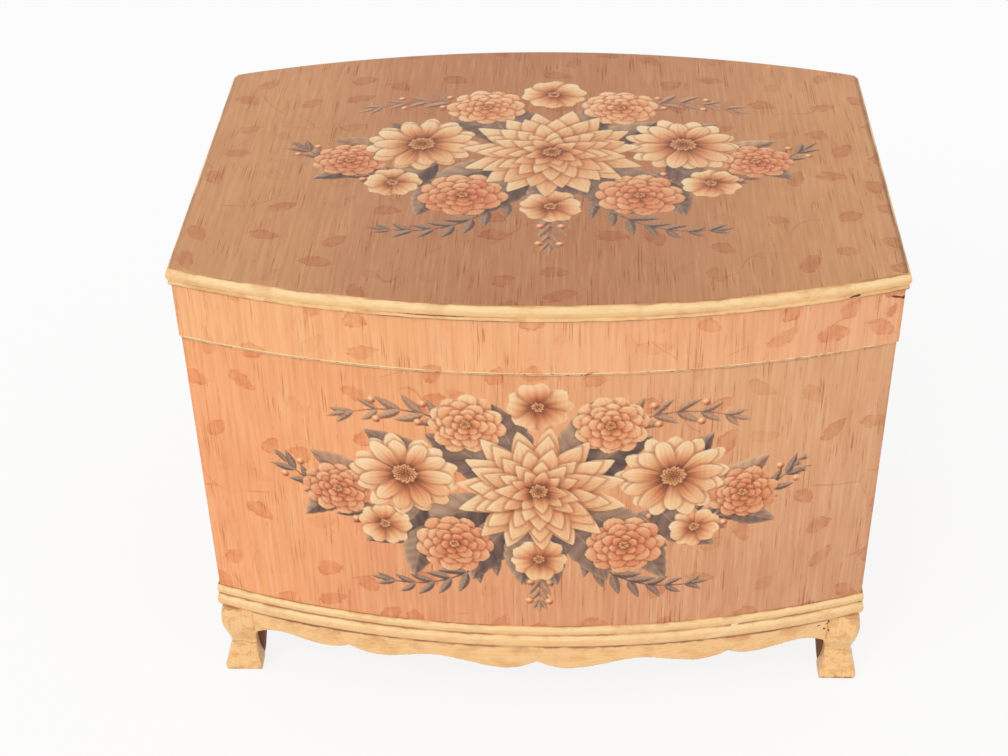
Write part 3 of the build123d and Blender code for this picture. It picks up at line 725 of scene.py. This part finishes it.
cream_tones = tone_row((150, 86, 54), (212, 138, 92), (238, 180, 128), (250, 208, 158), (255, 229, 188))
peach_tones = tone_row((146, 72, 44), (208, 116, 72), (234, 152, 102), (248, 190, 138), (254, 218, 172))
salmon_tones = tone_row((130, 62, 40), (190, 98, 62), (219, 128, 84), (236, 160, 112), (248, 196, 148))
leaf_tones = tone_row((66, 50, 46), (104, 78, 68), (140, 108, 92), (172, 136, 112), (206, 170, 136))
pale_leaf_tones = tone_row((96, 66, 54), (140, 100, 80), (174, 128, 100), (200, 154, 120), (226, 186, 146))
heart_tones = tone_row((84, 40, 26), (132, 68, 42), (176, 100, 60), (222, 152, 96), (250, 206, 148))

# Rings of petals, as bloom takes them
dahlia = [
    (15, 0.30, 1.00, 0.34),
    (15, 0.22, 0.84, 0.31),
    (13, 0.14, 0.67, 0.27),
    (11, 0.08, 0.50, 0.23),
    (9, 0.03, 0.34, 0.19),
]
zinnia = [(11, 0.25, 1.00, 0.56), (10, 0.16, 0.78, 0.47), (8, 0.08, 0.56, 0.38), (6, 0.02, 0.36, 0.28)]
daisy = [(13, 0.10, 1.00, 0.38), (11, 0.08, 0.88, 0.34)]
blossom = [(5, 0.04, 1.00, 0.98)]


def sprig(canvas, start, middle, end, pairs, leaf_length, leaf_width, tones, chance, berries):
    """A stem with leaves in pairs that get smaller toward its tip."""
    points = curve_points(start, middle, end)
    stem(canvas, points, 2.2, 0.9, tones)
    for i in range(pairs):
        at = 0.16 + 0.80 * i / max(pairs - 1, 1)
        k = min(int(at * (len(points) - 1)), len(points) - 2)
        x, y = points[k]
        heading = math.atan2(points[k + 1][1] - y, points[k + 1][0] - x)
        size = (1.0 - 0.42 * at) * chance.uniform(0.92, 1.08)
        for side in (-1, 1):
            turn = heading + side * (0.72 - 0.25 * at) + chance.uniform(-0.1, 0.1)
            leaf(canvas, x, y, turn, leaf_length * size, leaf_width * size, tones, chance)
            if berries and i % 2 == 1:
                out = leaf_length * 0.30
                berry_turn = heading + side * 1.25
                berry_x = x + out * math.cos(berry_turn)
                berry_y = y + out * math.sin(berry_turn)
                berry(canvas, berry_x, berry_y, berry_radius, peach_tones)
    tip_x, tip_y = points[-1]
    heading = math.atan2(tip_y - points[-2][1], tip_x - points[-2][0])
    leaf(canvas, tip_x, tip_y, heading, leaf_length * 0.55, leaf_width * 0.5, tones, chance)


def garland(canvas, x, y, wide, high, seed):
    """A festoon of blooms and laurel, the same on both halves apart from the hand that drew it.

    Places in the tables are shares of wide and high from the middle."""

    def at(share_x, share_y, side=1):
        return x + side * share_x * wide, y + share_y * high

    def slanted(turn, side):
        return turn if side > 0 else math.pi - turn

    chance = random.Random(seed)
    size = (wide + high) / 2
    both_sides = (-1, 1)
    # laurel behind everything: the ends and lean of its stem, pairs of leaves, their size
    for start, middle, end, pairs, leaf_length, leaf_width, tones, berries in (
        ((0.20, -0.18), (0.62, -0.52), (0.97, 0.10), 10, 30, 10.5, leaf_tones, True),
        ((0.10, 0.25), (0.36, 0.86), (0.72, 0.62), 7, 27, 9.5, pale_leaf_tones, True),
        ((0.12, -0.35), (0.28, -0.92), (0.60, -0.86), 7, 25, 9, leaf_tones, False),
    ):
        for side in both_sides:
            places = [at(*place, side) for place in (start, middle, end)]
            sprig(canvas, *places, pairs, leaf_length, leaf_width, tones, chance, berries)
    sprig(canvas, at(0, -0.40), at(0.01, -0.70), at(0, -0.98), 6, 24, 8.5, pale_leaf_tones, chance, True)
    # broad leaves around the middle: direction, distance and length
    for turn, out, length in (
        (2.55, 0.20, 68),
        (1.98, 0.22, 64),
        (-2.72, 0.24, 68),
        (-2.10, 0.24, 66),
        (-1.72, 0.26, 56),
    ):
        for side in both_sides:
            aim = slanted(math.pi - turn, side)
            leaf_x = x + out * wide * 0.6 * math.cos(aim)
            leaf_y = y + out * high * math.sin(aim)
            leaf(canvas, leaf_x, leaf_y, aim, length, length * 0.50, leaf_tones, chance, True)
    # broad leaves further out: place, direction and length
    for share_x, share_y, turn, length, tones in (
        (0.42, 0.10, 0.75, 56, leaf_tones),
        (0.44, -0.10, -0.75, 58, leaf_tones),
        (0.42, -0.30, -1.30, 50, leaf_tones),
        (0.66, 0.02, 0.55, 44, pale_leaf_tones),
        (0.72, -0.10, -0.60, 42, leaf_tones),
    ):
        for side in both_sides:
            aim = slanted(turn, side)
            leaf(canvas, *at(share_x, share_y, side), aim, length, length * 0.5, tones, chance, True)
    # blooms, far to near: place, share of the size, petals, squash and eye
    for share_x, share_y, share, rings, tones, tip, squash, eye in (
        (0.78, -0.06, 0.175, zinnia, salmon_tones, "round", 0.90, 0.13),
        (0.27, 0.60, 0.19, zinnia, peach_tones, "round", 0.92, 0.13),
        (0, 0.76, 0.165, blossom, cream_tones, "notch", 0.95, 0.17),
        (0.60, -0.33, 0.14, blossom, cream_tones, "notch", 0.95, 0.18),
        (0.33, -0.46, 0.20, zinnia, salmon_tones, "round", 0.92, 0.12),
        (0.51, 0.14, 0.275, daisy, cream_tones, "round", 0.92, 0.22),
        (0, -0.58, 0.15, blossom, cream_tones, "notch", 0.95, 0.18),
        (0, 0.04, 0.42, dahlia, cream_tones, "point", 0.95, 0.10),
    ):
        for side in both_sides if share_x else (1,):
            place = at(share_x, share_y, side)
            bloom(canvas, *place, share * size, rings, tones, heart_tones, tip, chance, squash, eye)


# Panels that carry the drawing
def graded(low, high, core_low, core_high, fine, coarse):
    """Places from low to high, close together in the core and wide apart outside it."""
    parts = []
    stretches = ((low, core_low, coarse), (core_low, core_high, fine), (core_high, high, coarse))
    for start, end, gap in stretches:
        count = max(1, int(round((end - start) / gap)))
        parts.append(np.linspace(start, end, count, endpoint=False))
    return np.append(np.concatenate(parts), high)


def panel_object(name, verts, faces, painted_faces, canvas, finish, body, node):
    """A closed panel whose first vertices are the canvas's grid."""
    mesh = bpy.data.meshes.new(name)
    mesh.from_pydata(verts, [], faces)
    mesh.update()
    mesh.materials.append(finish)
    smooth = np.zeros(len(mesh.polygons), bool)
    smooth[:painted_faces] = True
    mesh.polygons.foreach_set("use_smooth", smooth)
    colours = np.zeros((len(mesh.vertices), 4), np.float32)
    count = canvas.cover.size
    colours[:, :3] = canvas.rgb[0, 0]
    colours[:count, :3] = canvas.rgb.reshape(-1, 3)
    colours[:count, 3] = canvas.cover.reshape(-1)
    layer = mesh.color_attributes.new("artwork", "FLOAT_COLOR", "POINT")
    layer.data.foreach_set("color", colours.reshape(-1))
    piece = put(name, mesh)
    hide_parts(node)
    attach(piece, body)
    return piece


def grid_faces(columns, rows, flip):
    """Quads of a grid whose vertices run row by row within each column."""
    i, j = np.meshgrid(np.arange(columns - 1), np.arange(rows - 1), indexing="ij")
    a = (i * rows + j).reshape(-1)
    quads = np.stack([a, a + rows, a + rows + 1, a + 1], -1)
    return (quads[:, ::-1] if flip else quads).tolist()


def eased(gap, radius):
    """How far a rounded corner falls back at a distance from the edge."""
    if gap >= radius:
        return 0.0
    return radius - math.sqrt(max(radius**2 - (radius - gap) ** 2, 0.0))


# Ends of the drawings in millimetres, along x and then up the front or back over the top
front_art = (-172.0, 172.0, 100.0, 296.0)
top_art = (-172.0, 190.0, -118.0, 138.0)
# The middle of each garland, its half width, its half height and its seed
front_garland = (2.0, 200.0, 172.0, 96.0, 7)
top_garland = (8.0, 12.0, 178.0, 118.0, 21)
# Gaps of the grids inside the drawings, and beside them
front_fine = 0.72
top_fine, top_fine_deep = 0.80, 0.85
coarse, coarse_up = 4.0, 2.5


def front_board():
    """The bowed front with its garland, and its inner face bent alike."""
    half = chest_half / MM
    corner = rim_corner / MM
    left, right, lower, upper = front_art
    xs = graded(-half, half, left, right, front_fine, coarse)
    round_places = [half - corner + corner * share for share in (0.0, 0.3, 0.6, 0.85)]
    xs = np.unique(np.concatenate([xs, round_places, [-place for place in round_places]]))
    zs = graded(chest_low.z / MM, parting_z / MM, lower, upper, front_fine, coarse_up)
    canvas = Canvas(xs, zs, front_left_paint_and_light)
    garland(canvas, *front_garland)
    verts = []
    for x in xs:
        y = -reach(chest_radius, x * MM) + eased(half - abs(x), corner) * MM
        verts += [(x * MM, y, z * MM) for z in zs]
    faces = grid_faces(len(xs), len(zs), True)
    painted = len(faces)
    inner = len(verts)
    for x in xs:
        y = -reach(chest_radius - wall, x * MM)
        verts += [(x * MM, y, zs[0] * MM), (x * MM, y, zs[-1] * MM)]
    rows = len(zs)
    last = rows - 1
    for i in range(len(xs) - 1):
        near, far = i * rows, (i + 1) * rows
        a, b = inner + 2 * i, inner + 2 * (i + 1)
        faces.append((a, a + 1, b + 1, b))
        faces.append((near, a, b, far))
        faces.append((near + last, far + last, b + 1, a + 1))
    end = (len(xs) - 1) * rows
    a, b = inner, inner + 2 * (len(xs) - 1)
    faces.append([*range(rows), a + 1, a])
    faces.append([b, b + 1, *range(end + last, end - 1, -1)])
    return panel_object(
        "painted_front_panel", verts, faces, painted, canvas, case_front_art, "chest", "front_panel"
    )


def top_board():
    """The lid's top with its garland."""
    half = lid_half / MM
    edge = reach(lid_radius, 0.0) / MM
    corner = lid_back_corner / MM
    easing = lid_back_easing / MM
    left, right, front, back = top_art
    xs = graded(-half, half, left, right, top_fine, coarse)
    shares = graded(-1.0, 1.0, front / edge, back / edge, top_fine_deep / edge, coarse / edge)
    shares = np.unique(np.append(shares, [1 - easing / edge, 1 - easing / edge / 2]))
    canvas = Canvas(xs, shares * edge, top_middle_paint_and_shade)
    garland(canvas, *top_garland)
    high = lid_high.z / MM
    low = lid_low.z / MM
    verts = []
    rows = len(shares)

    def spot(x, share, z):
        y = share * reach(lid_radius, x * MM) / MM
        if share > 0:
            behind_y = reach(lid_radius, lid_half) / MM - y
            x = math.copysign(min(abs(x), half - eased(max(behind_y, 0.0), corner)), x)
        return x * MM, y * MM, z * MM

    for x in xs:
        for share in shares:
            behind = (1 - share) * edge
            verts.append(spot(x, share, high - max(0.0, easing - behind)))
    faces = grid_faces(len(xs), rows, False)
    painted = len(faces)
    # the rim of the grid, counted round from the front left corner
    rim = [i * rows for i in range(len(xs))]
    rim += [(len(xs) - 1) * rows + j for j in range(1, rows)]
    rim += [i * rows + rows - 1 for i in range(len(xs) - 2, -1, -1)]
    rim += list(range(rows - 2, 0, -1))
    lower = len(verts)
    verts += [(verts[k][0], verts[k][1], low * MM) for k in rim]
    count = len(rim)
    for k in range(count):
        after = (k + 1) % count
        faces.append((rim[k], lower + k, lower + after, rim[after]))
    faces.append([lower + k for k in range(count - 1, -1, -1)])
    return panel_object(
        "painted_lid_top", verts, faces, painted, canvas, case_top_art, "lid", "lid_top_panel"
    )


# How the carved pieces are softened
carved_voxel = 0.7 * MM
carved_rounds = 3
carved_depth = 0.5 * MM
lump_size = 9 * MM


def carve(piece):
    """Rounds the edges of a carved piece and leaves its surface slightly uneven."""
    remesh = piece.modifiers.new("remesh", "REMESH")
    remesh.mode = "VOXEL"
    remesh.voxel_size = carved_voxel
    remesh.use_smooth_shade = True
    smooth = piece.modifiers.new("smooth", "SMOOTH")
    smooth.factor = 0.5
    smooth.iterations = carved_rounds
    lumps = bpy.data.textures.get("lumps") or bpy.data.textures.new("lumps", "CLOUDS")
    lumps.noise_scale = lump_size
    uneven = piece.modifiers.new("uneven", "DISPLACE")
    uneven.texture = lumps
    uneven.texture_coords = "LOCAL"
    uneven.strength = carved_depth
    uneven.mid_level = 0.3


# Heights along the mouldings
parting = parting_z / MM
lid_moulding_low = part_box("lid_moulding_front")[0].z / MM
lid_moulding_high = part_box("lid_moulding_front")[1].z / MM
base_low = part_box("base_moulding_front")[0].z / MM
base_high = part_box("base_moulding_front")[1].z / MM
quirk_z = lid_moulding_low + 3.0
groove_z = base_low + 11.2
foot_waist_z = 24.5

# Materials of the case
case = (chest_radius, chest_half, (front_left_paint_and_light, front_right_paint_and_shade), parting)
skirt = (lid_radius, lid_half, (skirt_left_paint_and_light, skirt_right_paint_and_shade), parting)
top = (lid_radius, lid_half, (top_middle_paint_and_shade, top_side_paint_and_shade))
skirt_marks = [
    (224.5, 334.5, 4.4, 0.8, -0.30, dark_chip),
    (229.0, 333.4, 1.4, 1.3, 0.0, dark_chip),
    (222.5, 324.5, 3.2, 4.6, 0.5, linear(226, 142, 100)),
]
case_front_art = painted_case("case_front_art", "front", *case, artwork=True)
case_back = painted_case("case_back", "back", *case)
case_side = painted_case("case_side", "side", *case)
skirt_front = painted_case("skirt_front", "front", *skirt, marks=skirt_marks)
skirt_back = painted_case("skirt_back", "back", *skirt)
skirt_side = painted_case("skirt_side", "side", *skirt)
case_top_art = painted_case("case_top_art", "top", *top, artwork=True)

# Materials of the trim
lid_lines = [
    (lid_moulding_low, 0.3, 0.5, 1.0),
    (lid_moulding_high, 0.2, 0.1, 0.7),
    (quirk_z, 0.25, 0.0, 0.35),
]
# painted highlight along the top of the lid moulding, partly rubbed paint
lid_highlight_crowns = [(lid_moulding_high - 2.6, 1.8)]
base_lines = [(groove_z, 0.4, 0.20, 0.75), (base_low, 0.4, 0.25, 0.7), (base_high, 0.15, 0.1, 0.7)]
# painted highlights along the tops of the base moulding's beads, partly rubbed paint
base_highlight_crowns = [(base_high - 2.4, 1.6), (groove_z - 2.6, 1.8)]
lid_marks = [(197.0, 341.6, 4.0, 0.7, 0.10, dark_chip), (-60.0, quirk_z, 22.0, 0.35, 0.0, dark_chip)]
nick = linear(250, 214, 164)
base_marks = [(140.0, 76.0, 4.0, 3.0, 0.8, nick), (126.0, 66.5, 9.0, 2.0, 0.35, nick)]
trim_lid_front = trim("trim_lid_front", 0, lid_lines, lid_highlight_crowns, marks=lid_marks)
trim_lid_side = trim("trim_lid_side", 1, lid_lines, lid_highlight_crowns)
trim_base_front = trim("trim_base_front", 0, base_lines, base_highlight_crowns, marks=base_marks)
trim_base_side = trim("trim_base_side", 1, base_lines, base_highlight_crowns)
apron_lines = [(base_low, 1.2, 0.3, 0.9)]
# small chips in the paint where the apron meets the right foot
seam_chips = [
    (206.5, base_low - 4.0, 1.5, 0.9, 0.3, dark_chip),
    (204.0, base_low - 8.5, 1.0, 0.8, 0.0, dark_chip),
    (199.5, base_low - 4.5, 1.1, 0.6, 0.2, dark_chip),
    (207.5, base_low - 11.5, 0.7, 0.9, 0.0, dark_chip),
]
# the apron's wide band under the base moulding is painted shade and grime
apron_wear_and_shade = {"wobble": 1.5, "aged": 0.65, "shade_and_grime_spread": 8.0}
trim_apron_front = trim("trim_apron_front", 0, apron_lines, marks=seam_chips, **apron_wear_and_shade)
trim_apron_side = trim("trim_apron_side", 1, apron_lines, **apron_wear_and_shade)
foot_lines = [(foot_waist_z, 0.3, 0.10, 0.45), (0.6, 0.8, 0.4, 0.9), (base_low, 0.8, 0.4, 1.0)]
trim_foot = trim("trim_foot", 2, foot_lines, wobble=3.0, marks=seam_chips, aged=0.95, patch=7.5, shade_and_grime_spread=4.0)
block_wood = wood_material("block_wood", 2, stained_wood, stained_wood_dark)
board_wood = wood_material("board_wood", 0, raw_wood, raw_wood_dark)
brass = metal("aged_brass", brass_colour, 0.28)
screw_metal = metal("screw_brass", brass_colour, 0.34)

finishes = {
    "back_panel": case_back,
    "floor_panel": board_wood,
    "base_moulding_front": trim_base_front,
    "apron_front": trim_apron_front,
    "apron_back": trim_apron_front,
    "lid_front_side": skirt_front,
    "lid_back_side": skirt_back,
    "lid_moulding_front": trim_lid_front,
    "hinge_screws_chest": screw_metal,
    "hinge_screws_lid": screw_metal,
}
for side in ("left", "right"):
    finishes[f"{side}_panel"] = case_side
    finishes[f"base_moulding_{side}"] = trim_base_side
    finishes[f"apron_{side}"] = trim_apron_side
    finishes[f"lid_{side}_side"] = skirt_side
    finishes[f"lid_moulding_{side}"] = trim_lid_side
for name in nodes:
    if name.startswith("foot_"):
        finishes[name] = trim_foot
    elif name.startswith("corner_block_"):
        finishes[name] = block_wood
    elif name.startswith("hinge_") and name not in finishes:
        finishes[name] = brass
for name, finish in finishes.items():
    mesh = nodes[name].data
    mesh.materials.clear()
    mesh.materials.append(finish)
    if name.startswith(("foot_", "apron_")):
        carve(nodes[name])

front_board()
top_board()

# Camera
camera_data = bpy.data.cameras.new("camera")
camera_data.sensor_width = camera_sensor
camera_data.sensor_fit = "HORIZONTAL"
camera_data.lens = camera_lens
camera = put("camera", camera_data)
camera.location = camera_place
camera.rotation_euler = Euler([math.radians(angle) for angle in camera_turn], "XYZ")
bpy.context.scene.camera = camera
bpy.context.scene.view_settings.view_transform = "Standard"


def looked_at(wired):
    """1 for rays from the camera, a mirror or glass, and 0 for those that carry light."""
    path = wired.add("ShaderNodeLightPath")
    rays = ("Is Camera Ray", "Is Glossy Ray", "Is Transmission Ray")
    return wired.either(*(path.outputs[ray] for ray in rays))


# World: even light, and a white background where the camera or a reflection looks past
world = bpy.data.worlds.new("world")
bpy.context.scene.world = world
world.use_nodes = True
world_nodes = Nodes(world.node_tree)
world_level = world_nodes.ramp(looked_at(world_nodes), 0.0, 1.0, ambient_level, 1.0)
white = {"Color": (1.0, 1.0, 1.0), "Strength": world_level}
background = world_nodes.add("ShaderNodeBackground", white)
world_nodes.add("ShaderNodeOutputWorld", {"Surface": background.outputs[0]})


def sun(name, strength, azimuth, elevation, spread):
    """Soft light from far away: azimuth 0 is in front and 90 is on the right."""
    data = bpy.data.lights.new(name, "SUN")
    data.energy = strength
    data.angle = math.radians(spread)
    lamp = put(name, data)
    lamp.rotation_euler = Euler((math.radians(90 - elevation), 0, math.radians(azimuth)), "XYZ")


sun("key", *key_sun)
sun("fill", *fill_sun)

# Floor
floor_mesh = bpy.data.meshes.new("floor")
floor_corners = [(-1, -1), (1, -1), (1, 1), (-1, 1)]
floor_verts = [(x * floor_reach, y * floor_reach, 0) for x, y in floor_corners]
floor_mesh.from_pydata(floor_verts, [], [(0, 1, 2, 3)])
floor = put("floor", floor_mesh)
floor_material, floor_nodes, floor_shader = material("floor")
floor_nodes.feed(floor_shader, {"Base Color": (0.92, 0.92, 0.92), "Roughness": 0.9})
floor_glow = floor_nodes.add("ShaderNodeEmission")
floor_share = floor_nodes.product(looked_at(floor_nodes), floor_glow_share)
floor_looks = {0: floor_share, 1: floor_shader.outputs[0], 2: floor_glow.outputs[0]}
floor_mix = floor_nodes.add("ShaderNodeMixShader", floor_looks)
floor_output = floor_material.node_tree.nodes["output"]
floor_nodes.feed(floor_output, {"Surface": floor_mix.outputs[0]})
floor_mesh.materials.append(floor_material)
